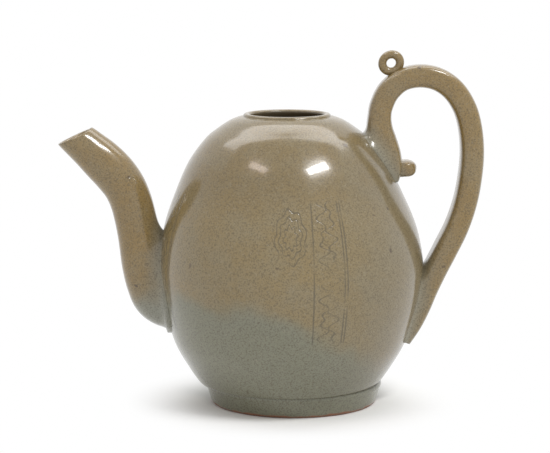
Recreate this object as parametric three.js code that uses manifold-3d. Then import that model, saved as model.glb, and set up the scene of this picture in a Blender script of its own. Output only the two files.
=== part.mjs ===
// A celadon ewer: a thrown ovoid pot with a plain round mouth, a curved spout and a looped strap handle.
// Millimetres, +Z up. The spout points to -X and the handle to +X, and the foot stands on Z = 0.
// The clay pieces are the ones a potter makes and joins with slip: the thrown body, its foot ring, the
// spout, the strap and its curled end, the tie loop for a lid's cord, and the soft clay in the joints.

import * as THREE from "three";
import { mergeVertices } from "three/addons/utils/BufferGeometryUtils.js";
import Module from "manifold-3d";

const wasm = await Module();
wasm.setup();

// Outside of the body, from the foot up: radius and height where the wall changes its bend.
const BASE_RADIUS = 39.4;
const BASE_HEIGHT = 9.4;
const HIP_RADIUS = 50.8;
const HIP_HEIGHT = 26;
const LOW_BELLY_RADIUS = 56.4;
const LOW_BELLY_HEIGHT = 43;
const BELLY_RADIUS = 58.5;
const BELLY_HEIGHT = 62;
const HIGH_BELLY_RADIUS = 55.6;
const HIGH_BELLY_HEIGHT = 80;
const FLANK_RADIUS = 47.6;
const FLANK_HEIGHT = 101;
const SHOULDER_RADIUS = 36.4;
const SHOULDER_HEIGHT = 118;
const CROWN_RADIUS = 25.6;
const CROWN_HEIGHT = 126;
const LIP_HEIGHT = 129.2;
const LIP_WIDTH = 2.6;
const LIP_STEP = 0.8;
const MOUTH_RADIUS = 16.4;
const WALL = 4.2;
const FLOOR = 6;

// Foot ring, set a little off the body's axis as the hand-made one is.
const FOOT_RADIUS = 39.2;
const FOOT_TAPER = 2;
const FOOT_WIDTH = 7.5;
const FOOT_EDGE = 1.5;
const FOOT_SHIFT = 1.8;
const FOOT_RECESS = 4.6;

// Spout: how far its centre line stands off the body's belly, and its height above the table.
const SPOUT_HEEL_REACH = -12.5;
const SPOUT_HEEL_HEIGHT = 36;
const SPOUT_ROOT_REACH = -6.5;
const SPOUT_ROOT_HEIGHT = 42;
const SPOUT_RISER_REACH = 2.5;
const SPOUT_RISER_HEIGHT = 55;
const SPOUT_WAIST_REACH = 7;
const SPOUT_WAIST_HEIGHT = 69;
const SPOUT_BEND_REACH = 9.4;
const SPOUT_BEND_HEIGHT = 82.6;
const SPOUT_NECK_REACH = 14.2;
const SPOUT_NECK_HEIGHT = 96.1;
const SPOUT_BEAK_REACH = 24.8;
const SPOUT_BEAK_HEIGHT = 108.6;
const SPOUT_TIP_REACH = 36.2;
const SPOUT_TIP_HEIGHT = 118.9;
const SPOUT_ROOT_RADIUS = 12;
const SPOUT_MID_RADIUS = 9.5;
const SPOUT_TIP_RADIUS = 7.5;
const SPOUT_WALL = 2.7;
const SPOUT_HOLE_RADIUS = 5;
const SPOUT_CUT_DEGREES = 25;

// Handle strap: its centre line, measured from the body's axis and from the table.
const STRAP_TUCK_REACH = 36;
const STRAP_TUCK_HEIGHT = 108;
const STRAP_ROOT_REACH = 39.4;
const STRAP_ROOT_HEIGHT = 121;
const STRAP_RISE_REACH = 40.4;
const STRAP_RISE_HEIGHT = 133;
const STRAP_CROOK_REACH = 47;
const STRAP_CROOK_HEIGHT = 143;
const STRAP_CROWN_REACH = 57.5;
const STRAP_CROWN_HEIGHT = 146;
const STRAP_BROW_REACH = 71.5;
const STRAP_BROW_HEIGHT = 140.3;
const STRAP_NAPE_REACH = 78.7;
const STRAP_NAPE_HEIGHT = 127;
const STRAP_BACK_REACH = 80.6;
const STRAP_BACK_HEIGHT = 112;
const STRAP_ELBOW_REACH = 77.4;
const STRAP_ELBOW_HEIGHT = 89;
const STRAP_FOREARM_REACH = 69;
const STRAP_FOREARM_HEIGHT = 69;
const STRAP_WRIST_REACH = 60.5;
const STRAP_WRIST_HEIGHT = 52;
const STRAP_TOE_HEIGHT = 27.6;
const STRAP_TOE_STAND = 0.4;
const STRAP_THICKNESS = 10.4;
const STRAP_TOE_THICKNESS = 9;
const STRAP_TOP_WIDTH = 14;
const STRAP_ROOT_WIDTH = 23;

// Curled end of the strap, lying under its upper root.
const CURL_WIDTH = 13;
const CURL_THICKNESS = 6.8;
const CURL_REACH = 52.6;
const CURL_HEIGHT = 105;
const CURL_TUCK = 8;

// Tie loop: a little ring of coiled clay on the strap, for the cord that holds the lid.
const LOOP_RADIUS = 4;
const LOOP_COIL_RADIUS = 1.9;
const LOOP_REACH = 44.6;
const LOOP_HEIGHT = 151.2;

// Soft clay pressed into the joints: how far it reaches out from the piece, and up from the body.
const LUTE_REACH = 2.4;
const LUTE_RISE = 2.2;

const GAP = 0.3;
const BODY_SIDES = 44;
const WALL_STEPS = 16;
const SPOUT_SIDES = 16;
const SPOUT_STEPS = 22;
const STRAP_SIDES = 16;
const STRAP_STEPS = 36;
const LOOP_SIDES = 8;
const LOOP_STEPS = 18;

function glaze(color) {
  return new THREE.MeshStandardMaterial({ color, roughness: 0.2, metalness: 0 });
}

function solidOf(geometry) {
  const bare = geometry.clone();
  bare.deleteAttribute("normal");
  bare.deleteAttribute("uv");
  const merged = mergeVertices(bare, 1e-4);
  return new wasm.Manifold(
    new wasm.Mesh({
      numProp: 3,
      vertProperties: merged.attributes.position.array,
      triVerts: new Uint32Array(merged.index.array),
    }),
  );
}

// The largest connected solid, as a geometry: a cut can leave a sliver behind.
function geometryOf(solid) {
  const pieces = solid.decompose();
  pieces.sort((a, b) => b.volume() - a.volume());
  const mesh = pieces[0].getMesh();
  const geometry = new THREE.BufferGeometry();
  geometry.setAttribute("position", new THREE.BufferAttribute(mesh.vertProperties, 3));
  geometry.setIndex(new THREE.BufferAttribute(mesh.triVerts, 1));
  return geometry;
}

// Outline points are (radius, height); LatheGeometry turns them about its Y axis.
function turned(outline) {
  return new THREE.LatheGeometry(outline, BODY_SIDES).rotateX(Math.PI / 2);
}

function at(reach, height) {
  return new THREE.Vector3(reach, 0, height);
}

// Sweeps a section along a curve in the XZ plane. section(share, angle) gives two offsets from the
// centre line: the first in that plane, the second along Y.
function swept(curve, section, sides, steps) {
  const rod = new THREE.CylinderGeometry(1, 1, 1, sides, steps);
  const place = rod.attributes.position;
  for (let i = 0; i < place.count; i += 1) {
    const share = THREE.MathUtils.clamp(place.getY(i) + 0.5, 0, 1);
    const angle = Math.atan2(place.getZ(i), place.getX(i));
    const fromCentre = Math.hypot(place.getX(i), place.getZ(i));
    const centre = curve.getPointAt(share);
    const tangent = curve.getTangentAt(share);
    const [inPlane, sideways] = section(share, angle);
    const x = centre.x - tangent.z * inPlane * fromCentre;
    const z = centre.z + tangent.x * inPlane * fromCentre;
    place.setXYZ(i, x, sideways * fromCentre, z);
  }
  return solidOf(rod);
}

// A value that runs smoothly through stations, each [share of the length, value].
function between(stations, share) {
  for (let i = 1; i < stations.length; i += 1) {
    const [from, first] = stations[i - 1];
    const [to, second] = stations[i];
    if (share <= to) {
      return THREE.MathUtils.lerp(first, second, THREE.MathUtils.smoothstep(share, from, to));
    }
  }
  return stations[stations.length - 1][1];
}

// Body

const wallCurve = new THREE.SplineCurve([
  new THREE.Vector2(BASE_RADIUS, BASE_HEIGHT),
  new THREE.Vector2(HIP_RADIUS, HIP_HEIGHT),
  new THREE.Vector2(LOW_BELLY_RADIUS, LOW_BELLY_HEIGHT),
  new THREE.Vector2(BELLY_RADIUS, BELLY_HEIGHT),
  new THREE.Vector2(HIGH_BELLY_RADIUS, HIGH_BELLY_HEIGHT),
  new THREE.Vector2(FLANK_RADIUS, FLANK_HEIGHT),
  new THREE.Vector2(SHOULDER_RADIUS, SHOULDER_HEIGHT),
  new THREE.Vector2(CROWN_RADIUS, CROWN_HEIGHT),
  new THREE.Vector2(MOUTH_RADIUS + LIP_WIDTH + LIP_STEP, LIP_HEIGHT - LIP_STEP),
]);

// The wall's outline moved out along its own normal, or in where the distance is negative.
function wallOutline(distance) {
  return wallCurve.getSpacedPoints(WALL_STEPS).map((point, i) => {
    const tangent = wallCurve.getTangentAt(i / WALL_STEPS);
    return point.addScaledVector(new THREE.Vector2(tangent.y, -tangent.x), distance);
  });
}

// The body as if it were filled, grown by a distance. What meets the wall is cut with it.
function filledBody(distance) {
  const outline = [new THREE.Vector2(0, FOOT_RECESS - distance)];
  outline.push(new THREE.Vector2(BASE_RADIUS + distance, FOOT_RECESS - distance));
  outline.push(...wallOutline(distance));
  outline.push(new THREE.Vector2(0, LIP_HEIGHT + distance));
  return solidOf(turned(outline));
}

const footInside = FOOT_RADIUS - FOOT_WIDTH;

function footRing() {
  const rest = FOOT_RADIUS - FOOT_TAPER;
  const top = BASE_HEIGHT - GAP;
  const outline = [
    new THREE.Vector2(footInside, 0),
    new THREE.Vector2(rest - FOOT_EDGE, 0),
    new THREE.Vector2(rest, FOOT_EDGE),
    new THREE.Vector2(FOOT_RADIUS, top - FOOT_EDGE),
    new THREE.Vector2(FOOT_RADIUS - FOOT_EDGE, top),
    new THREE.Vector2(footInside, top),
    new THREE.Vector2(footInside, 0),
  ];
  return solidOf(turned(outline).translate(FOOT_SHIFT, 0, 0));
}

// The underside fits inside the foot ring, and the wall stands on the ring's top.
function bodySolid() {
  const undersideRadius = footInside - FOOT_SHIFT - 2 * GAP;
  const outline = [new THREE.Vector2(0, FOOT_RECESS)];
  outline.push(new THREE.Vector2(undersideRadius, FOOT_RECESS));
  outline.push(new THREE.Vector2(undersideRadius, BASE_HEIGHT));
  outline.push(...wallOutline(0));
  outline.push(new THREE.Vector2(MOUTH_RADIUS + LIP_WIDTH, LIP_HEIGHT));
  outline.push(new THREE.Vector2(MOUTH_RADIUS, LIP_HEIGHT));
  const inner = wallOutline(-WALL).reverse();
  const floorHeight = FOOT_RECESS + FLOOR;
  outline.push(...inner.filter((p) => p.x > MOUTH_RADIUS && p.y > floorHeight + WALL / 2));
  outline.push(new THREE.Vector2(BASE_RADIUS - WALL, floorHeight));
  outline.push(new THREE.Vector2(0, floorHeight));
  return solidOf(turned(outline)).subtract(spoutBore());
}

// Spout

function spoutPoint(reach, height) {
  return at(-BELLY_RADIUS - reach, height);
}

const spoutTip = spoutPoint(SPOUT_TIP_REACH, SPOUT_TIP_HEIGHT);
const spoutBeak = spoutPoint(SPOUT_BEAK_REACH, SPOUT_BEAK_HEIGHT);
const beyondTip = spoutTip.clone().sub(spoutBeak).setLength(SPOUT_MID_RADIUS).add(spoutTip);
const spoutCurve = new THREE.CatmullRomCurve3([
  spoutPoint(SPOUT_HEEL_REACH, SPOUT_HEEL_HEIGHT),
  spoutPoint(SPOUT_ROOT_REACH, SPOUT_ROOT_HEIGHT),
  spoutPoint(SPOUT_RISER_REACH, SPOUT_RISER_HEIGHT),
  spoutPoint(SPOUT_WAIST_REACH, SPOUT_WAIST_HEIGHT),
  spoutPoint(SPOUT_BEND_REACH, SPOUT_BEND_HEIGHT),
  spoutPoint(SPOUT_NECK_REACH, SPOUT_NECK_HEIGHT),
  spoutBeak,
  spoutTip,
  beyondTip,
]);

function spoutTube(radii, grown) {
  const section = (share, angle) => {
    const radius = between(radii, share) + grown;
    return [radius * Math.cos(angle), radius * Math.sin(angle)];
  };
  return swept(spoutCurve, section, SPOUT_SIDES, SPOUT_STEPS);
}

function spoutSkin(grown) {
  const radii = [
    [0, SPOUT_ROOT_RADIUS],
    [0.14, SPOUT_ROOT_RADIUS],
    [0.42, SPOUT_MID_RADIUS],
    [0.74, SPOUT_MID_RADIUS],
    [1, SPOUT_TIP_RADIUS],
  ];
  return spoutTube(radii, grown);
}

function spoutBore() {
  const radii = [
    [0, SPOUT_HOLE_RADIUS],
    [0.3, SPOUT_HOLE_RADIUS],
    [0.46, SPOUT_MID_RADIUS - SPOUT_WALL],
    [0.74, SPOUT_MID_RADIUS - SPOUT_WALL],
    [1, SPOUT_TIP_RADIUS - SPOUT_WALL],
  ];
  return spoutTube(radii, 0);
}

// What lies above the slanting cut that opens the tip.
function aboveTip() {
  const size = 6 * SPOUT_MID_RADIUS;
  const block = new THREE.BoxGeometry(size, size, size);
  block.translate(0, 0, size / 2);
  block.rotateY(-THREE.MathUtils.degToRad(SPOUT_CUT_DEGREES));
  block.translate(spoutTip.x, 0, spoutTip.z);
  return solidOf(block);
}

function spoutSolid() {
  return spoutSkin(0).subtract(filledBody(GAP)).subtract(spoutBore()).subtract(aboveTip());
}

// Handle strap

function wallRadiusAt(height) {
  const points = wallCurve.getSpacedPoints(WALL_STEPS);
  const above = points.findIndex((p) => p.y >= height);
  const low = points[above - 1];
  const high = points[above];
  return THREE.MathUtils.mapLinear(height, low.y, high.y, low.x, high.x);
}

const ankleHeight = (STRAP_WRIST_HEIGHT + STRAP_TOE_HEIGHT) / 2;
const strapCurve = new THREE.CatmullRomCurve3([
  at(STRAP_TUCK_REACH, STRAP_TUCK_HEIGHT),
  at(STRAP_ROOT_REACH, STRAP_ROOT_HEIGHT),
  at(STRAP_RISE_REACH, STRAP_RISE_HEIGHT),
  at(STRAP_CROOK_REACH, STRAP_CROOK_HEIGHT),
  at(STRAP_CROWN_REACH, STRAP_CROWN_HEIGHT),
  at(STRAP_BROW_REACH, STRAP_BROW_HEIGHT),
  at(STRAP_NAPE_REACH, STRAP_NAPE_HEIGHT),
  at(STRAP_BACK_REACH, STRAP_BACK_HEIGHT),
  at(STRAP_ELBOW_REACH, STRAP_ELBOW_HEIGHT),
  at(STRAP_FOREARM_REACH, STRAP_FOREARM_HEIGHT),
  at(STRAP_WRIST_REACH, STRAP_WRIST_HEIGHT),
  at(wallRadiusAt(ankleHeight) + STRAP_TOE_STAND, ankleHeight),
  at(wallRadiusAt(STRAP_TOE_HEIGHT) + STRAP_TOE_STAND, STRAP_TOE_HEIGHT),
]);

// A soft rectangle: half sizes in the plane of the loop and across it.
function softRectangle(halfThickness, halfWidth, angle) {
  const SQUARENESS = 0.72;
  const c = Math.cos(angle);
  const s = Math.sin(angle);
  const inPlane = Math.sign(c) * Math.abs(c) ** SQUARENESS * halfThickness;
  return [inPlane, Math.sign(s) * Math.abs(s) ** SQUARENESS * halfWidth];
}

function strapSkin(grown) {
  const widths = [
    [0, STRAP_ROOT_WIDTH],
    [0.2, STRAP_TOP_WIDTH],
    [0.55, STRAP_TOP_WIDTH],
    [0.9, STRAP_ROOT_WIDTH],
    [1, STRAP_ROOT_WIDTH],
  ];
  const thicknesses = [
    [0, STRAP_THICKNESS],
    [0.7, STRAP_THICKNESS],
    [1, STRAP_TOE_THICKNESS],
  ];
  const section = (share, angle) => {
    const halfThickness = between(thicknesses, share) / 2 + grown;
    return softRectangle(halfThickness, between(widths, share) / 2 + grown, angle);
  };
  return swept(strapCurve, section, STRAP_SIDES, STRAP_STEPS);
}

function strapSolid() {
  return strapSkin(0).subtract(filledBody(GAP));
}

const curlCurve = new THREE.CatmullRomCurve3([
  at(CURL_REACH, CURL_HEIGHT),
  at(CURL_REACH - CURL_TUCK / 2, CURL_HEIGHT + GAP),
  at(CURL_REACH - CURL_TUCK, CURL_HEIGHT + GAP),
]);

function curlSkin() {
  const section = (share, angle) => {
    const rounding = 0.55 + 0.45 * Math.sqrt(Math.min(1, share * 4));
    return softRectangle((CURL_THICKNESS / 2) * rounding, (CURL_WIDTH / 2) * rounding, angle);
  };
  return swept(curlCurve, section, STRAP_SIDES, 6);
}

function curlSolid() {
  return curlSkin().subtract(filledBody(GAP)).subtract(strapSkin(GAP));
}

function loopSolid() {
  const ring = new THREE.TorusGeometry(LOOP_RADIUS, LOOP_COIL_RADIUS, LOOP_SIDES, LOOP_STEPS);
  ring.rotateX(Math.PI / 2).translate(LOOP_REACH, 0, LOOP_HEIGHT);
  return solidOf(ring).subtract(strapSkin(GAP));
}

// The collar of soft clay where a piece meets the body's wall.
function collar(skin, cutters) {
  const round = skin(LUTE_REACH).intersect(filledBody(LUTE_RISE));
  return cutters.reduce((rest, cutter) => rest.subtract(cutter), round.subtract(filledBody(GAP)));
}

function half(height, upper) {
  const size = 4 * BELLY_RADIUS;
  const block = new THREE.BoxGeometry(size, size, size);
  block.translate(0, 0, height + (upper ? size : -size) / 2);
  return solidOf(block);
}

const middle = (STRAP_ROOT_HEIGHT + STRAP_WRIST_HEIGHT) / 2;
const curlClear = new THREE.BoxGeometry(
  CURL_TUCK * 4,
  CURL_WIDTH + 2 * LUTE_REACH,
  CURL_THICKNESS + 2 * GAP,
).translate(CURL_REACH, 0, CURL_HEIGHT);
const strapCutters = [strapSkin(GAP), solidOf(curlClear)];

const solids = [
  ["body", bodySolid(), 0x8b8467],
  ["foot_ring", footRing(), 0x7c7664],
  ["spout", spoutSolid(), 0x897a5b],
  ["spout_lute", collar(spoutSkin, [spoutSkin(GAP)]), 0x8a8a80],
  ["handle_strap", strapSolid(), 0x8f7e5e],
  ["handle_upper_lute", collar(strapSkin, strapCutters).intersect(half(middle, true)), 0x817b68],
  ["handle_lower_lute", collar(strapSkin, strapCutters).intersect(half(middle, false)), 0x767462],
  ["handle_tail", curlSolid(), 0x817b68],
  ["tie_loop", loopSolid(), 0x98846a],
];

const ewer = new THREE.Group();
for (const [name, solid, color] of solids) {
  const mesh = new THREE.Mesh(geometryOf(solid), glaze(color));
  mesh.name = name;
  ewer.add(mesh);
}

// The origin lies under the middle of the whole ewer, on the table.
const extent = new THREE.Box3().setFromObject(ewer);
const centre = extent.getCenter(new THREE.Vector3());
ewer.position.set(-centre.x, -centre.y, -extent.min.z);
const part = new THREE.Group();
part.add(ewer);

export default part;
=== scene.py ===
"""A celadon ewer in a plain studio: thrown body, foot ring, spout, strap handle, curled tail, tie loop."""

import math
from collections import namedtuple

import bmesh
import bpy
from bpy.props import FloatProperty, FloatVectorProperty, IntProperty, PointerProperty
from mathutils import Matrix, Vector


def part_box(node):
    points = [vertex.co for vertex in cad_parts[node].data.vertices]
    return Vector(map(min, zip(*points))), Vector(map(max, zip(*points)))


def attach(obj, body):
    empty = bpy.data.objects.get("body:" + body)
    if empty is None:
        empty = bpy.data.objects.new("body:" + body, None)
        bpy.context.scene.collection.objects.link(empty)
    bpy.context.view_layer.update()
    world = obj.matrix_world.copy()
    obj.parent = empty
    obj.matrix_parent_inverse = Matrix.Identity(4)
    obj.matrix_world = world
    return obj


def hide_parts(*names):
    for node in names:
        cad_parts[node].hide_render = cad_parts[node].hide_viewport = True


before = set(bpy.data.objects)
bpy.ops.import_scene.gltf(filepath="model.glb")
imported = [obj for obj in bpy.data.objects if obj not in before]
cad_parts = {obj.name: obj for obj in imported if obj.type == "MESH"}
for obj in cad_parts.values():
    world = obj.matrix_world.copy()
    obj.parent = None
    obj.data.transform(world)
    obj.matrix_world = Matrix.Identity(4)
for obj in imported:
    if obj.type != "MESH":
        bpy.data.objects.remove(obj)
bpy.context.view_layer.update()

bl_info = {
    "name": "Celadon Ewer",
    "version": (1, 0, 0),
    "blender": (4, 5, 0),
    "location": "View3D > Sidebar > Ewer",
    "description": "Models and glazes a celadon ewer around its frame",
    "category": "Add Mesh",
}

MM = 0.001

# The body is round, so its axis lies one radius in from its side towards the handle.
BODY_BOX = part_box("body")
AXIS_X = BODY_BOX[1][0] - BODY_BOX[1][1]
FOOT_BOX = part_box("foot_ring")
FOOT_X = (FOOT_BOX[0][0] + FOOT_BOX[1][0]) / 2

# Outlines to turn: (distance from the axis they turn about, height above the table), in millimetres.
UNDERSIDE = [(0, 4.8), (16, 4.8), (27, 4.7), (29.2, 5.2), (29.3, 8.6)]
OUTER_WALL = [
    (36.5, 8.8), (39.2, 9.0), (41.2, 10.6), (45.6, 17), (50.8, 26), (54, 35), (56.6, 45), (58.3, 56),
    (58.5, 65), (55.8, 80), (50, 95), (43.8, 108), (36.3, 118), (30.5, 122.8), (25.6, 126), (22, 127.5),
]
MOUTH_LIP = [
    (20.2, 127.9), (19.5, 128.1), (19.3, 128.6), (18.8, 129.15), (18, 129.3), (17.1, 129.2),
    (16.5, 128.6), (16.5, 127.4), (17.4, 125.2),
]
INNER_WALL = [
    (22, 122), (29, 117), (36, 109), (42, 99.5), (47.6, 87), (51.9, 73), (53.6, 60), (52.2, 46),
    (47.6, 31), (40.5, 18.5), (30, 12.4), (15, 10.9), (0, 10.7),
]
FOOT_OUTLINE = [
    (31.7, 9.1), (31.7, 3), (32, 1.1), (32.9, 0.1), (34.2, 0), (35.3, 0), (36.4, 0.3), (37, 1.2),
    (37.6, 3.2), (38.7, 6.6), (39.3, 8), (39.2, 9), (38.2, 9.7), (35, 9.9), (32.6, 9.8), (31.7, 9.1),
]

# Centre lines: (distance from the body's axis, height, half thickness, half width), in millimetres.
SPOUT_LINE = [
    (-36, 37, 4, 7), (-44, 39.4, 6.6, 10.6), (-51.5, 42.8, 10.6, 12.4), (-57.8, 47.8, 12.2, 12.4),
    (-61.6, 54.8, 11.6, 11.6), (-64.2, 62, 10.6, 10.6), (-65.7, 69, 10, 10), (-67.2, 76, 9.4, 9.6),
    (-68.6, 83, 9.3, 9.5), (-70.4, 90, 9.3, 9.5), (-73.2, 96.6, 9.4, 9.5), (-77.6, 102.7, 9.6, 9.6),
    (-83.3, 108.6, 9.4, 9.4), (-89, 113.8, 8.6, 8.7), (-94.7, 118.9, 7.7, 7.8),
]
STRAP_LINE = [
    (45.6, 99.5, 2.6, 8.6), (45, 105, 4.8, 9.6), (43.2, 111, 6.0, 9.8), (41, 117, 6.3, 9.2),
    (39.7, 122.5, 5.8, 8.2), (39.6, 128, 5.2, 7.3), (40.5, 133, 5.1, 6.9), (43.6, 139.2, 5.05, 6.8),
    (49.5, 144.1, 4.9, 6.8), (57.5, 145.8, 5.0, 6.8), (65.5, 144.2, 5.1, 6.8), (72.3, 139.3, 5.2, 6.9),
    (77.2, 131.5, 5.2, 7.1), (79.7, 122.5, 5.2, 7.4), (80.6, 112, 5.2, 7.8), (79.8, 101, 5.2, 8.3),
    (77.8, 90, 5.2, 8.8), (74.2, 79, 5.2, 9.4), (69.4, 69, 5.2, 10), (64.9, 60, 5.1, 10.6),
    (61, 51.5, 5, 11), (58.3, 43.5, 4.4, 11.2), (55, 35.5, 3.7, 11.2), (51.4, 28.4, 2.7, 10.8),
]
TAIL_LINE = [
    (43, 104.6, 3.8, 6.6), (46.5, 104.9, 3.9, 6.8), (50, 104.9, 3.6, 6.8), (52.6, 105, 3.5, 6.6),
    (54.4, 105.2, 2.9, 5.8), (55.5, 105.3, 1.9, 4.2), (56.1, 105.3, 0.5, 1.2),
]

# Steps in each span of a smooth line
WALL_STEPS = 6
LIP_STEPS = 4
INSIDE_STEPS = 5
FOOT_STEPS = 3
SPOUT_STEPS = 7
STRAP_STEPS = 6

# Sections of the pulled pieces: a roundness of 1 is an ellipse, and less is nearer to a rectangle.
SPOUT_SIDES = 56
SPOUT_ROUNDNESS = 1.0
STRAP_SIDES = 64
STRAP_ROUNDNESS = 0.52

# The wall leans over a rise above its start, and swells about one height, all in millimetres.
LEAN_START = 60
LEAN_RISE = 70
SWELL_HEIGHT = 62
SWELL_SPREAD = 26

# Spans over which a pulled piece's fillet grows, and how far off the wall glaze pools, in millimetres.
FLARE_SPANS = 3
POOL_HEIGHT = 7
POOLING = "pooling"

# The spout's tip slants over its last rings. Its lip is rings of (inset, depth), in millimetres.
TIP_SLANT = math.radians(25)
TIP_RINGS = 9
SPOUT_LIP = [(0.35, -0.35), (1.1, -0.1), (1.9, 0.5), (2.3, 2.5), (2.6, 8), (2.9, 18)]

# The tie loop's coil, which is squashed a little and then turned to stand on the strap
LOOP_SIDES = 24
LOOP_STEPS = 72
LOOP_SQUASH = 0.93
LOOP_TURN = math.radians(-35)

# The tail's fillet, as a share of the strap's
TAIL_FLARE = 0.5

# Points nearer to each other than this are one point, in millimetres.
SAME_POINT = 1e-4

Ring = namedtuple("Ring", "verts centre tangent")


def within(value):
    """The value held between 0 and 1."""
    return max(0.0, min(1.0, value))


def smooth_line(points, per_span):
    """Points on a smooth curve through the given points."""
    line = []
    ends = [points[0]] + list(points) + [points[-1]]
    for i in range(1, len(ends) - 2):
        p0, p1, p2, p3 = (Vector(p) for p in ends[i - 1:i + 3])
        for k in range(per_span):
            t = k / per_span
            square = (2 * p0 - 5 * p1 + 4 * p2 - p3) * t**2
            cube = (3 * p1 - p0 - 3 * p2 + p3) * t**3
            line.append(0.5 * (2 * p1 + (p2 - p0) * t + square + cube))
    line.append(Vector(points[-1]))
    return line


WALL_LINE = smooth_line(OUTER_WALL, WALL_STEPS)


def above_wall(point):
    """How far a point, in millimetres from the body's axis, stands off the outer wall."""
    spot = Vector((math.hypot(point.x, point.y), point.z))
    nearest = math.inf
    for low, high in zip(WALL_LINE, WALL_LINE[1:]):
        run = high - low
        gap = spot - low - run * within((spot - low).dot(run) / run.length_squared)
        side = 1 if run.x * gap.y - run.y * gap.x < 0 else -1
        if gap.length < abs(nearest):
            nearest = side * gap.length
    return nearest


def fillet(height, radius):
    """How far a round fillet stands out at a height above the wall."""
    if height >= radius:
        return 0.0
    inside = radius - max(height, 0.0)
    return radius - math.sqrt(max(radius * radius - inside * inside, 0.0))


def finished(bm, name, nodes, material):
    """Turns a bmesh in millimetres about the body's axis into a piece in the frame."""
    bmesh.ops.remove_doubles(bm, verts=bm.verts, dist=SAME_POINT)
    bmesh.ops.recalc_face_normals(bm, faces=bm.faces)
    bmesh.ops.scale(bm, vec=(MM, MM, MM), verts=bm.verts)
    bmesh.ops.translate(bm, vec=(AXIS_X, 0, 0), verts=bm.verts)
    for face in bm.faces:
        face.smooth = True
    mesh = bpy.data.meshes.new(name)
    bm.to_mesh(mesh)
    bm.free()
    piece = bpy.data.objects.new(name, mesh)
    bpy.context.scene.collection.objects.link(piece)
    mesh.materials.append(material)
    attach(piece, "root")
    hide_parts(*nodes)


def thrown(outline, steps, offset=0.0):
    """A bmesh turned from an outline as a potter turns it on the wheel."""
    bm = bmesh.new()
    verts = [bm.verts.new((point[0] + offset, 0, point[1])) for point in outline]
    edges = [bm.edges.new(pair) for pair in zip(verts, verts[1:])]
    bmesh.ops.spin(
        bm, geom=verts + edges, cent=(offset, 0, 0), axis=(0, 0, 1), angle=math.tau, steps=steps,
        use_merge=True,
    )
    return bm


def leaned(bm, lean, swell):
    """The slight lean and swell that the hand leaves in a thrown wall."""
    for vert in bm.verts:
        share = within((vert.co.z - LEAN_START) / LEAN_RISE)
        belly = math.exp(-(((vert.co.z - SWELL_HEIGHT) / SWELL_SPREAD) ** 2))
        vert.co.x += -lean * share * share * (3 - 2 * share) + swell * belly


def add_section(bm, centre, tangent, half_thickness, half_width, sides, roundness):
    """One section of a pulled piece: an ellipse or a soft rectangle across the centre line."""
    made = bmesh.ops.create_circle(bm, segments=sides, radius=1)["verts"]
    for vert in made:
        x, y = vert.co.x, vert.co.y
        vert.co.x = math.copysign(abs(x) ** roundness, x) * half_thickness
        vert.co.y = math.copysign(abs(y) ** roundness, y) * half_width
    across = Vector((-tangent.z, 0, tangent.x))
    matrix = Matrix((across, Vector((0, 1, 0)), tangent)).transposed().to_4x4()
    matrix.translation = centre
    bmesh.ops.transform(bm, matrix=matrix, verts=made)
    return made


def pulled(line, per_span, sides, roundness, flare):
    """A bmesh pulled along a centre line, flared where it meets the wall. Returns it and its rings."""
    bm = bmesh.new()
    pooling = bm.verts.layers.float.new(POOLING)
    stations = smooth_line(line, per_span)
    rings = []
    for i, station in enumerate(stations):
        reach, height, half_thickness, half_width = station
        low = stations[max(i - 1, 0)]
        high = stations[min(i + 1, len(stations) - 1)]
        tangent = Vector((high[0] - low[0], 0, high[1] - low[1])).normalized()
        centre = Vector((reach, 0, height))
        verts = add_section(bm, centre, tangent, half_thickness, half_width, sides, roundness)
        radius = flare * min(1.0, i / (FLARE_SPANS * per_span))
        for vert in verts:
            outward = (vert.co - centre).normalized()
            off_wall = above_wall(vert.co)
            vert[pooling] = within(1 - off_wall / POOL_HEIGHT)
            vert.co += outward * fillet(off_wall, radius)
        rings.append(Ring(verts, centre, tangent))
    return bm, rings


def ring_edges(verts):
    """The edges that join the given vertices."""
    chosen = set(verts)
    edges = {edge for vert in verts for edge in vert.link_edges}
    return [edge for edge in edges if edge.verts[0] in chosen and edge.verts[1] in chosen]


def skin(bm, rings):
    """Joins neighbouring rings into a skin and caps its two ends."""
    edges = [ring_edges(ring) for ring in rings]
    for low, high in zip(edges, edges[1:]):
        bmesh.ops.bridge_loops(bm, edges=low + high)
    for end in (edges[0], edges[-1]):
        bmesh.ops.contextual_create(bm, geom=end)


def slant_tip(rings):
    """Slants the last rings step by step, until the tip lies in one plane."""
    tip = rings[-1].centre
    normal = Vector((-math.sin(TIP_SLANT), 0, math.cos(TIP_SLANT)))
    last = rings[-TIP_RINGS:]
    for ring in last:
        share = 1 - (tip - ring.centre).length / (tip - last[0].centre).length
        for vert in ring.verts:
            along = (tip - vert.co).dot(normal) / ring.tangent.dot(normal)
            vert.co = vert.co.lerp(vert.co + ring.tangent * along, share * share)


def lip_rings(bm, tip):
    """Copies of the tip's ring that turn its edge over into the bore."""
    inner = []
    for inset, depth in SPOUT_LIP:
        copied = bmesh.ops.duplicate(bm, geom=tip.verts + ring_edges(tip.verts))["geom"]
        verts = [part for part in copied if isinstance(part, bmesh.types.BMVert)]
        for vert in verts:
            vert.co -= (vert.co - tip.centre).normalized() * inset + tip.tangent * depth
        inner.append(verts)
    return inner


# Materials

Place = namedtuple("Place", "where x y z")
Flecks = namedtuple("Flecks", "detail roughness low high share")

# The Mix node's colour sockets share their names with its other kinds, so they are counted.
MIX_COLOURS = (6, 7)
MIX_RESULT = 2

NOISE_MIDDLE = 0.5
NOISE_DETAIL = 2
NOISE_ROUGHNESS = 0.55

# Lengths here are in metres and noise scales in waves a metre. A pair is the start and end of a ramp,
# apart from the scroll's waves, which are a length and a swing.

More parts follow.
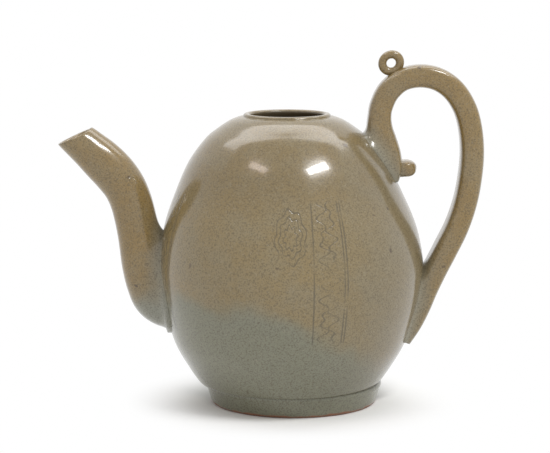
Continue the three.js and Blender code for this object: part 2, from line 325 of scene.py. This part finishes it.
# Olive turns to grey green over a border that drifts, and sinks as it nears the handle.
BORDER = (44 * MM, 56 * MM)
DRIFT_SCALE = 26
DRIFT_DETAIL = 3
DRIFT = 34 * MM
SINK = 0.62

# On the body the colour is painted darker towards the mouth, a painted reflection of the dark room in the
# glaze, and greyer towards the handle, a painted reflection of the handle.
DARK_REFLECTION_RISE = (84 * MM, 108 * MM)
DARK_REFLECTION_SHARE = 0.5
HANDLE_REFLECTION_SPAN = (10 * MM, 48 * MM)
HANDLE_REFLECTION_SHARE = 0.55

# Thicker glaze lies in blotches, and in the joints of the pulled pieces.
MOTTLE_SCALE = 75
MOTTLE = Flecks(detail=5, roughness=0.6, low=0.35, high=0.7, share=0.22)
POOLED_SHARE = 0.75

# Fine dark grain, and pale grain at a share of its scale
DARK_GRAIN = Flecks(detail=2, roughness=0.7, low=0.46, high=0.66, share=0.55)
PALE_GRAIN = Flecks(detail=2, roughness=0.7, low=0.54, high=0.72, share=0.28)
PALE_GRAIN_SCALE = 0.72
PALE_GRAIN_COLOUR = (0.34, 0.305, 0.22)

# Pinholes
PIT_SCALE = 250
PIT_DETAIL = 0
PIT_EDGE = (0.13, 0.17)
PIT_SHARE = 0.7
PIT_DEPTH = 0.6
PIT_COLOUR = (0.07, 0.045, 0.025)

# The surface: ripples, gloss and the clear coat
BROAD_RIPPLE_SCALE = 48
FINE_RIPPLE_SCALE = 320
FINE_RIPPLE = 0.22
GLOSS_SCALE = 90
GLOSS_DETAIL = 3
GLOSS_SWING = 0.12
COAT = 0.35
COAT_ROUGHNESS = 0.05
BUMP_STRENGTH = 0.4
BUMP_DEPTH = 0.35 * MM

# Carving: turned away from the front by an angle, and laid out along a wall of one radius
CARVED_TURN = 0.12
CARVED_RADIUS = 56 * MM
CARVED_SHARE = 0.6
CARVED_DEPTH = 0.5
CARVED_COLOUR = (0.07, 0.06, 0.038)
WORN_SCALE = 60
WORN = (0.28, 0.5)

# The medallion's rings, line and petals are shares of its half width and half height.
MEDALLION_HEIGHT = 82 * MM
MEDALLION_HALF_WIDTH = 6.6 * MM
MEDALLION_HALF_HEIGHT = 11 * MM
MEDALLION_RINGS = (0.42, 0.72, 1.0)
MEDALLION_LINE = (0.015, 0.05)
PETALS = 8
PETAL_DEPTH = 0.07

# The band: its middle and ends in height, and its borders and scroll across the wall
BAND_HEIGHT = 66 * MM
BAND_ENDS = (29 * MM, 31 * MM)
BAND_BORDERS = (9.6 * MM, 22.6 * MM, 23.9 * MM)
BORDER_LINE = (0.16 * MM, 0.45 * MM)
SCROLL_MIDDLE = 16.1 * MM
SCROLL_SIDES = (5.4 * MM, 5.9 * MM)
SCROLL_LINE = (0.16 * MM, 0.6 * MM)
SCROLL_WAVE = (17 * MM, 3.2 * MM)
SCROLL_CURL = (5.7 * MM, 1.3 * MM)

# Painted shade on the edge just inside the mouth, where the hollow is dark
MOUTH_RADIUS = (17.0 * MM, 18.1 * MM)
MOUTH_HEIGHT = (128.2 * MM, 129 * MM)
MOUTH_SHADE_SHARE = 0.75
MOUTH_SHADE_COLOUR = (0.09, 0.07, 0.045)

# The bare edge under the foot
BARE_EDGE = (0.7 * MM, 1.5 * MM)
BARE_RAG_SCALE = 140
BARE_RAG_DETAIL = 4
BARE_RAG = 2.6 * MM
BARE_ROUGHNESS = 0.5


class Nodes:
    """Adds the nodes of one material or world. Its methods take numbers, colours or outputs."""

    def __init__(self, tree):
        self.tree = tree

    def new(self, kind):
        return self.tree.nodes.new(kind)

    def feed(self, socket, value):
        """Links an output to a socket, or sets the socket to a number or a colour."""
        if isinstance(value, bpy.types.NodeSocket):
            self.tree.links.new(value, socket)
        elif isinstance(value, (int, float)):
            socket.default_value = value
        else:
            socket.default_value = (*value, 1)

    def maths(self, operation, *values):
        node = self.new("ShaderNodeMath")
        node.operation = operation
        for socket, value in zip(node.inputs, values):
            self.feed(socket, value)
        return node.outputs[0]

    def plus(self, first, second):
        return self.maths("ADD", first, second)

    def minus(self, first, second):
        return self.maths("SUBTRACT", first, second)

    def times(self, first, second):
        return self.maths("MULTIPLY", first, second)

    def apart(self, first, second):
        """How far apart two values are."""
        return self.maths("ABSOLUTE", self.minus(first, second))

    def distance(self, across, up):
        """The straight distance from (0, 0) to (across, up)."""
        return self.maths("SQRT", self.plus(self.times(across, across), self.times(up, up)))

    def swung(self, value, length, swing):
        """A wave of one length and one swing along a value."""
        return self.times(self.maths("SINE", self.times(value, math.tau / length)), swing)

    def ramped(self, value, low, high):
        """A value that rises smoothly from 0 at low to 1 at high."""
        node = self.new("ShaderNodeMapRange")
        node.interpolation_type = "SMOOTHSTEP"
        self.feed(node.inputs["Value"], value)
        self.feed(node.inputs["From Min"], low)
        self.feed(node.inputs["From Max"], high)
        return node.outputs["Result"]

    def fading(self, value, low, high):
        """A value that falls smoothly from 1 at low to 0 at high."""
        return self.minus(1, self.ramped(value, low, high))

    def noise(self, where, scale, detail=NOISE_DETAIL, roughness=NOISE_ROUGHNESS):
        """Noise between 0 and 1."""
        node = self.new("ShaderNodeTexNoise")
        self.feed(node.inputs["Vector"], where)
        self.feed(node.inputs["Scale"], scale)
        self.feed(node.inputs["Detail"], detail)
        self.feed(node.inputs["Roughness"], roughness)
        return node.outputs["Fac"]

    def wobble(self, where, scale, detail, swing):
        """Noise that swings about 0."""
        return self.times(self.minus(self.noise(where, scale, detail), NOISE_MIDDLE), swing)

    def flecks(self, where, scale, flecks):
        """Flecks, from 0 between them to their share on them."""
        spots = self.noise(where, scale, flecks.detail, flecks.roughness)
        return self.times(self.ramped(spots, flecks.low, flecks.high), flecks.share)

    def mixed(self, share, first, second):
        """The first colour with a share of the second."""
        node = self.new("ShaderNodeMix")
        node.data_type = "RGBA"
        self.feed(node.inputs["Factor"], share)
        for number, colour in zip(MIX_COLOURS, (first, second)):
            self.feed(node.inputs[number], colour)
        return node.outputs[MIX_RESULT]

    def seen_light(self):
        """1 for camera, mirror and clear rays, which see the plain white studio."""
        path = self.new("ShaderNodeLightPath").outputs
        seen = self.maths("MAXIMUM", path["Is Camera Ray"], path["Is Glossy Ray"])
        return self.maths("MAXIMUM", seen, path["Is Transmission Ray"])


def pot_place(nodes):
    """The place on the pot, with x measured from the body's axis."""
    where = nodes.new("ShaderNodeTexCoord").outputs["Object"]
    parts = nodes.new("ShaderNodeSeparateXYZ")
    nodes.feed(parts.inputs[0], where)
    x, y, z = parts.outputs
    return Place(where, nodes.minus(x, AXIS_X), y, z)


def medallion(nodes, across, z):
    """Nested rings with petalled outlines."""
    wide = nodes.maths("DIVIDE", across, MEDALLION_HALF_WIDTH)
    tall = nodes.maths("DIVIDE", nodes.minus(z, MEDALLION_HEIGHT), MEDALLION_HALF_HEIGHT)
    turn = nodes.maths("ARCTAN2", wide, tall)
    petals = nodes.times(nodes.maths("SINE", nodes.times(turn, PETALS)), PETAL_DEPTH)
    reach = nodes.plus(nodes.distance(wide, tall), petals)
    return [nodes.fading(nodes.apart(reach, ring), *MEDALLION_LINE) for ring in MEDALLION_RINGS]


def scroll_band(nodes, across, z):
    """Plain borders, and between them a scroll of two strands that cross."""
    lines = [nodes.fading(nodes.apart(across, border), *BORDER_LINE) for border in BAND_BORDERS]
    from_middle = nodes.minus(across, SCROLL_MIDDLE)
    between = nodes.fading(nodes.maths("ABSOLUTE", from_middle), *SCROLL_SIDES)
    wave = nodes.swung(z, *SCROLL_WAVE)
    curl = nodes.swung(z, *SCROLL_CURL)
    for strand in (nodes.plus(wave, curl), nodes.minus(curl, wave)):
        line = nodes.fading(nodes.apart(from_middle, strand), *SCROLL_LINE)
        lines.append(nodes.times(line, between))
    in_height = nodes.fading(nodes.apart(z, BAND_HEIGHT), *BAND_ENDS)
    return [nodes.times(line, in_height) for line in lines]


def carved_lines(nodes, place):
    """Faint worn lines: a cloud medallion and a scroll band on each quarter of the wall."""
    turn = nodes.maths("ARCTAN2", place.x, nodes.times(place.y, -1))
    quarter = nodes.maths("WRAP", turn, math.pi / 4 + CARVED_TURN, -math.pi / 4 + CARVED_TURN)
    across = nodes.times(quarter, CARVED_RADIUS)
    lines = 0
    for line in medallion(nodes, across, place.z) + scroll_band(nodes, across, place.z):
        lines = nodes.maths("MAXIMUM", lines, line)
    return nodes.times(lines, nodes.ramped(nodes.noise(place.where, WORN_SCALE), *WORN))


def celadon(nodes, place, upper, lower, settings, on_body):
    """The glaze's own colour, mottled where it lies thick, with painted reflections of the dark room and
    the handle on the body.
    """
    drift = nodes.wobble(place.where, DRIFT_SCALE, DRIFT_DETAIL, DRIFT)
    sink = nodes.times(nodes.maths("MAXIMUM", place.x, 0), SINK)
    level = nodes.plus(nodes.plus(place.z, drift), sink)
    colour = nodes.mixed(nodes.ramped(level, *BORDER), lower, upper)
    if on_body:
        # Painted reflection of the dark room: the body is darker towards the mouth
        dark_reflection = nodes.times(nodes.ramped(place.z, *DARK_REFLECTION_RISE), DARK_REFLECTION_SHARE)
        colour = nodes.mixed(dark_reflection, colour, settings.dark_reflection)
    colour = nodes.mixed(nodes.flecks(place.where, MOTTLE_SCALE, MOTTLE), colour, settings.pooled)
    if on_body:
        # Painted reflection of the handle: the body is greyer on the side towards it
        handle_reflection_mask = nodes.times(nodes.ramped(place.x, *HANDLE_REFLECTION_SPAN), HANDLE_REFLECTION_SHARE)
        return nodes.mixed(handle_reflection_mask, colour, settings.handle_reflection)
    pool = nodes.new("ShaderNodeAttribute")
    pool.attribute_name = POOLING
    return nodes.mixed(nodes.times(pool.outputs["Fac"], POOLED_SHARE), colour, settings.pooled)


def grained(nodes, where, colour, settings):
    """A colour with its dark and pale grain."""
    dark = nodes.flecks(where, settings.grain_scale, DARK_GRAIN)
    colour = nodes.mixed(dark, colour, settings.speckle)
    pale = nodes.flecks(where, settings.grain_scale * PALE_GRAIN_SCALE, PALE_GRAIN)
    return nodes.mixed(pale, colour, PALE_GRAIN_COLOUR)


def mouth_shade(nodes, place):
    """The share of shade just inside the mouth."""
    inside = nodes.fading(nodes.distance(place.x, place.y), *MOUTH_RADIUS)
    below = nodes.fading(place.z, *MOUTH_HEIGHT)
    return nodes.times(nodes.times(inside, below), MOUTH_SHADE_SHARE)


def bare_edge(nodes, place):
    """1 on the ragged bare edge under the foot."""
    rag = nodes.wobble(place.where, BARE_RAG_SCALE, BARE_RAG_DETAIL, BARE_RAG)
    return nodes.fading(nodes.plus(place.z, rag), *BARE_EDGE)


def glaze(name, upper, lower, settings, on_body=False, on_foot=False):
    """Celadon glaze over grey clay: one colour above, one below, grained, pitted and glossy, with painted
    reflections and painted shade on the body.
    """
    material = bpy.data.materials.new(name)
    material.use_nodes = True
    nodes = Nodes(material.node_tree)
    place = pot_place(nodes)
    where = place.where

    colour = celadon(nodes, place, upper, lower, settings, on_body)
    colour = grained(nodes, where, colour, settings)
    pits = nodes.fading(nodes.noise(where, PIT_SCALE, PIT_DETAIL), *PIT_EDGE)
    colour = nodes.mixed(nodes.times(pits, PIT_SHARE), colour, PIT_COLOUR)
    fine = nodes.times(nodes.noise(where, FINE_RIPPLE_SCALE), FINE_RIPPLE)
    ripples = nodes.plus(fine, nodes.noise(where, BROAD_RIPPLE_SCALE))
    height = nodes.minus(ripples, nodes.times(pits, PIT_DEPTH))
    rough = nodes.plus(nodes.wobble(where, GLOSS_SCALE, GLOSS_DETAIL, GLOSS_SWING), settings.roughness)
    if on_body:
        lines = carved_lines(nodes, place)
        colour = nodes.mixed(nodes.times(lines, CARVED_SHARE), colour, CARVED_COLOUR)
        height = nodes.minus(height, nodes.times(lines, CARVED_DEPTH))
        # Painted shade just inside the mouth
        colour = nodes.mixed(mouth_shade(nodes, place), colour, MOUTH_SHADE_COLOUR)
    if on_foot:
        bare = bare_edge(nodes, place)
        colour = nodes.mixed(bare, colour, settings.bare_clay)
        rough = nodes.plus(rough, nodes.times(bare, BARE_ROUGHNESS))

    bump = nodes.new("ShaderNodeBump")
    bump.inputs["Strength"].default_value = BUMP_STRENGTH
    bump.inputs["Distance"].default_value = BUMP_DEPTH
    nodes.feed(bump.inputs["Height"], height)
    shader = material.node_tree.nodes["Principled BSDF"]
    nodes.feed(shader.inputs["Base Color"], colour)
    nodes.feed(shader.inputs["Roughness"], rough)
    nodes.feed(shader.inputs["Normal"], bump.outputs[0])
    shader.inputs["Coat Weight"].default_value = COAT
    shader.inputs["Coat Roughness"].default_value = COAT_ROUGHNESS
    return material


class EwerGlazeSettings(bpy.types.PropertyGroup):
    """Colours and finish of the glaze, with the colours of its painted reflections."""

    olive: FloatVectorProperty(
        name="Olive", description="Glaze on the body, above", subtype="COLOR", default=(0.245, 0.18, 0.078)
    )
    green: FloatVectorProperty(
        name="Grey green", description="Glaze below", subtype="COLOR", default=(0.19, 0.188, 0.128)
    )
    pooled: FloatVectorProperty(
        name="Pooled", description="Thick glaze", subtype="COLOR", default=(0.235, 0.235, 0.185)
    )
    # The painted reflection of the handle, which greys the body's side towards it
    handle_reflection: FloatVectorProperty(
        name="Grey brown", description="Glaze towards the handle", subtype="COLOR",
        default=(0.19, 0.162, 0.105),
    )
    # The painted reflection of the dark room, which darkens the body towards the mouth
    dark_reflection: FloatVectorProperty(
        name="Crown", description="Darker glaze round the mouth", subtype="COLOR",
        default=(0.17, 0.115, 0.04),
    )
    brown: FloatVectorProperty(
        name="Brown", description="Glaze on the spout and the handle, above", subtype="COLOR",
        default=(0.25, 0.168, 0.06),
    )
    speckle: FloatVectorProperty(
        name="Speckle", description="Dark grain", subtype="COLOR", default=(0.06, 0.045, 0.023)
    )
    bare_clay: FloatVectorProperty(
        name="Bare clay", description="Unglazed foot edge", subtype="COLOR", default=(0.23, 0.105, 0.055)
    )
    grain_scale: FloatProperty(
        name="Grain", description="Waves of the dark grain's noise in a metre", default=1500
    )
    roughness: FloatProperty(
        name="Roughness", description="Middle roughness of the glaze", subtype="FACTOR", default=0.2
    )


class EwerFormSettings(bpy.types.PropertyGroup):
    """Sizes of the finished forms."""

    turns: IntProperty(name="Turn steps", description="Steps round the thrown pieces", default=192)
    lean: FloatProperty(
        name="Lean", description="Lean of the shoulder to the spout", unit="LENGTH", default=1.2 * MM
    )
    swell: FloatProperty(
        name="Swell", description="Swell of the belly to the handle", unit="LENGTH", default=0.8 * MM
    )
    spout_flare: FloatProperty(
        name="Spout flare", description="Fillet round the spout", unit="LENGTH", default=4.5 * MM
    )
    strap_flare: FloatProperty(
        name="Strap flare", description="Fillet round the strap", unit="LENGTH", default=3.2 * MM
    )
    loop_radius: FloatProperty(
        name="Loop radius", description="Radius of the tie loop's middle line", unit="LENGTH",
        default=3.95 * MM,
    )
    loop_coil: FloatProperty(
        name="Loop coil", description="Half thickness of the tie loop", unit="LENGTH", default=1.9 * MM
    )


class EWER_OT_body(bpy.types.Operator):
    """Throw the body, with its mouth and its inside"""

    bl_idname = "ewer.body"
    bl_label = "Body"

    def execute(self, context):
        form = context.scene.ewer_form
        colours = context.scene.ewer_glaze
        mouth = smooth_line(MOUTH_LIP, LIP_STEPS)
        inside = smooth_line(INNER_WALL, INSIDE_STEPS)
        bm = thrown(UNDERSIDE + WALL_LINE + mouth + inside, form.turns)
        leaned(bm, form.lean / MM, form.swell / MM)
        material = glaze("body_glaze", colours.olive, colours.green, colours, on_body=True)
        finished(bm, "ewer_body", ["body"], material)
        return {"FINISHED"}


class EWER_OT_foot(bpy.types.Operator):
    """Turn the foot ring, with its bare edge"""

    bl_idname = "ewer.foot"
    bl_label = "Foot ring"

    def execute(self, context):
        form = context.scene.ewer_form
        colours = context.scene.ewer_glaze
        bm = thrown(smooth_line(FOOT_OUTLINE, FOOT_STEPS), form.turns, (FOOT_X - AXIS_X) / MM)
        material = glaze("foot_glaze", colours.green, colours.green, colours, on_foot=True)
        finished(bm, "ewer_foot_ring", ["foot_ring"], material)
        return {"FINISHED"}


class EWER_OT_spout(bpy.types.Operator):
    """Pull the hollow spout, slant its tip and turn its lip into the bore"""

    bl_idname = "ewer.spout"
    bl_label = "Spout"

    def execute(self, context):
        form = context.scene.ewer_form
        colours = context.scene.ewer_glaze
        bm, rings = pulled(SPOUT_LINE, SPOUT_STEPS, SPOUT_SIDES, SPOUT_ROUNDNESS, form.spout_flare / MM)
        slant_tip(rings)
        skin(bm, [ring.verts for ring in rings] + lip_rings(bm, rings[-1]))
        material = glaze("spout_glaze", colours.brown, colours.pooled, colours)
        finished(bm, "ewer_spout", ["spout", "spout_lute"], material)
        return {"FINISHED"}


class EWER_OT_handle(bpy.types.Operator):
    """Pull the strap and its curled tail, and join them to the wall"""

    bl_idname = "ewer.handle"
    bl_label = "Strap handle"

    def execute(self, context):
        flare = context.scene.ewer_form.strap_flare / MM
        colours = context.scene.ewer_glaze
        material = glaze("handle_glaze", colours.brown, colours.green, colours)
        strap_nodes = ["handle_strap", "handle_upper_lute", "handle_lower_lute"]
        pieces = (
            ("ewer_strap", STRAP_LINE, strap_nodes, flare),
            ("ewer_tail", TAIL_LINE, ["handle_tail"], flare * TAIL_FLARE),
        )
        for name, line, nodes, radius in pieces:
            bm, rings = pulled(line, STRAP_STEPS, STRAP_SIDES, STRAP_ROUNDNESS, radius)
            skin(bm, [ring.verts for ring in rings])
            finished(bm, name, nodes, material)
        return {"FINISHED"}


class EWER_OT_loop(bpy.types.Operator):
    """Coil the tie loop on the strap"""

    bl_idname = "ewer.loop"
    bl_label = "Tie loop"

    def execute(self, context):
        form = context.scene.ewer_form
        colours = context.scene.ewer_glaze
        low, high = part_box("tie_loop")
        centre = Vector(((low[0] + high[0]) / 2 - AXIS_X, 0, (low[2] + high[2]) / 2)) / MM
        origin = (0, 0, 0)
        turn = Matrix.Rotation(LOOP_TURN, 3, "Y")
        bm = bmesh.new()
        section = bmesh.ops.create_circle(bm, segments=LOOP_SIDES, radius=form.loop_coil / MM)["verts"]
        bmesh.ops.translate(bm, vec=(form.loop_radius / MM, 0, 0), verts=section)
        bmesh.ops.spin(
            bm, geom=section + ring_edges(section), cent=origin, axis=(0, 1, 0), angle=math.tau,
            steps=LOOP_STEPS, use_merge=True,
        )
        bmesh.ops.scale(bm, vec=(1, 1, LOOP_SQUASH), verts=bm.verts)
        bmesh.ops.rotate(bm, cent=origin, matrix=turn, verts=bm.verts)
        bmesh.ops.translate(bm, vec=centre, verts=bm.verts)
        material = glaze("loop_glaze", colours.brown, colours.green, colours)
        finished(bm, "ewer_tie_loop", ["tie_loop"], material)
        return {"FINISHED"}


# The studio, in metres, watts and radians, with the lens and its sensor in millimetres

FLOOR_HALF = 3
FLOOR_COLOUR = (0.93, 0.93, 0.92)
FLOOR_ROUGHNESS = 0.9
FLOOR_GLOSS = 0.1

# The floor's own colour and shadow turn to plain white between these distances from the foot's middle.
SHADOW_FADE = (0.038, 0.078)

# The world's strength on the ewer. Seen directly or in a reflection it is 1, which is white.
WORLD_STRENGTH = 0.5

# Softboxes: name, place, size, power, colour
LAMPS_AIM = (AXIS_X, 0, 0.1)
SOFTBOXES = (
    ("key_softbox", (0.56, -0.5, 1.12), (0.48, 0.15), 8, (1, 1, 1)),
    ("second_softbox", (-0.54, -0.5, 1.12), (0.42, 0.13), 1.3, (1, 0.86, 0.8)),
    ("top_softbox", (0, 0.45, 1.15), (2.0, 0.5), 9, (1, 1, 1)),
)

CAMERA_PLACE = (AXIS_X - 6.5 * MM, -0.973, 0.2244)
CAMERA_DIP = 0.1486
LENS = 144.8
SENSOR = 36


def floor_paper():
    """Pale paper that shows the shadow near the foot and is plain white further out."""
    material = bpy.data.materials.new("floor_paper")
    material.use_nodes = True
    nodes = Nodes(material.node_tree)
    shader = material.node_tree.nodes["Principled BSDF"]
    shader.inputs["Base Color"].default_value = (*FLOOR_COLOUR, 1)
    shader.inputs["Roughness"].default_value = FLOOR_ROUGHNESS
    shader.inputs["Specular IOR Level"].default_value = FLOOR_GLOSS
    from_foot = nodes.new("ShaderNodeVectorMath")
    from_foot.operation = "SUBTRACT"
    from_foot.inputs[1].default_value = (FOOT_X, 0, 0)
    nodes.feed(from_foot.inputs[0], nodes.new("ShaderNodeTexCoord").outputs["Object"])
    away = nodes.new("ShaderNodeVectorMath")
    away.operation = "LENGTH"
    nodes.feed(away.inputs[0], from_foot.outputs[0])
    far = nodes.ramped(away.outputs["Value"], *SHADOW_FADE)
    mix = nodes.new("ShaderNodeMixShader")
    nodes.feed(mix.inputs[0], nodes.times(far, nodes.seen_light()))
    nodes.feed(mix.inputs[1], shader.outputs[0])
    nodes.feed(mix.inputs[2], nodes.new("ShaderNodeEmission").outputs[0])
    nodes.feed(material.node_tree.nodes["Material Output"].inputs["Surface"], mix.outputs[0])
    return material


def lay_floor(scene):
    """A level sheet under the foot."""
    bm = bmesh.new()
    bmesh.ops.create_grid(bm, x_segments=1, y_segments=1, size=FLOOR_HALF)
    mesh = bpy.data.meshes.new("floor")
    bm.to_mesh(mesh)
    bm.free()
    mesh.materials.append(floor_paper())
    floor = bpy.data.objects.new("floor", mesh)
    scene.collection.objects.link(floor)


def light_world(scene):
    """Even light from all round, white where it is seen."""
    world = bpy.data.worlds.new("studio")
    scene.world = world
    world.use_nodes = True
    nodes = Nodes(world.node_tree)
    back = world.node_tree.nodes["Background"]
    back.inputs["Color"].default_value = (1, 1, 1, 1)
    more = nodes.times(nodes.seen_light(), 1 - WORLD_STRENGTH)
    nodes.feed(back.inputs["Strength"], nodes.plus(more, WORLD_STRENGTH))


def hang_softbox(scene, name, place, size, power, colour):
    """A rectangular lamp that is aimed at the ewer."""
    light = bpy.data.lights.new(name, "AREA")
    light.shape = "RECTANGLE"
    light.size, light.size_y = size
    light.energy = power
    light.color = colour
    lamp = bpy.data.objects.new(name, light)
    lamp.location = place
    lamp.rotation_euler = (Vector(LAMPS_AIM) - Vector(place)).to_track_quat("-Z", "Y").to_euler()
    scene.collection.objects.link(lamp)


def set_camera(scene):
    """The photograph's view: from a little above the ewer, and dipped towards it."""
    lens = bpy.data.cameras.new("camera")
    lens.lens = LENS
    lens.sensor_width = SENSOR
    camera = bpy.data.objects.new("camera", lens)
    camera.location = CAMERA_PLACE
    camera.rotation_euler = (math.pi / 2 - CAMERA_DIP, 0, 0)
    scene.collection.objects.link(camera)
    scene.camera = camera


class EWER_OT_stage(bpy.types.Operator):
    """Set the floor, the studio light and the camera"""

    bl_idname = "ewer.stage"
    bl_label = "Stage"

    def execute(self, context):
        scene = context.scene
        lay_floor(scene)
        light_world(scene)
        for softbox in SOFTBOXES:
            hang_softbox(scene, *softbox)
        set_camera(scene)
        scene.view_settings.view_transform = "Standard"
        return {"FINISHED"}


class EWER_PT_panel(bpy.types.Panel):
    """The ewer's sizes and colours, and its pieces in the order they are made"""

    bl_idname = "EWER_PT_panel"
    bl_label = "Celadon Ewer"
    bl_space_type = "VIEW_3D"
    bl_region_type = "UI"
    bl_category = "Ewer"

    def draw(self, context):
        for settings in (context.scene.ewer_form, context.scene.ewer_glaze):
            for name in settings.__annotations__:
                self.layout.prop(settings, name)
        for operator in OPERATORS:
            self.layout.operator(operator.bl_idname)


OPERATORS = (EWER_OT_body, EWER_OT_foot, EWER_OT_spout, EWER_OT_handle, EWER_OT_loop, EWER_OT_stage)
CLASSES = (EwerGlazeSettings, EwerFormSettings, *OPERATORS, EWER_PT_panel)


def register():
    for cls in CLASSES:
        bpy.utils.register_class(cls)
    bpy.types.Scene.ewer_glaze = PointerProperty(type=EwerGlazeSettings)
    bpy.types.Scene.ewer_form = PointerProperty(type=EwerFormSettings)


def unregister():
    del bpy.types.Scene.ewer_form
    del bpy.types.Scene.ewer_glaze
    for cls in reversed(CLASSES):
        bpy.utils.unregister_class(cls)


def main():
    register()
    bpy.ops.ewer.body()
    bpy.ops.ewer.foot()
    bpy.ops.ewer.spout()
    bpy.ops.ewer.handle()
    bpy.ops.ewer.loop()
    bpy.ops.ewer.stage()


if __name__ == "__main__":
    main()
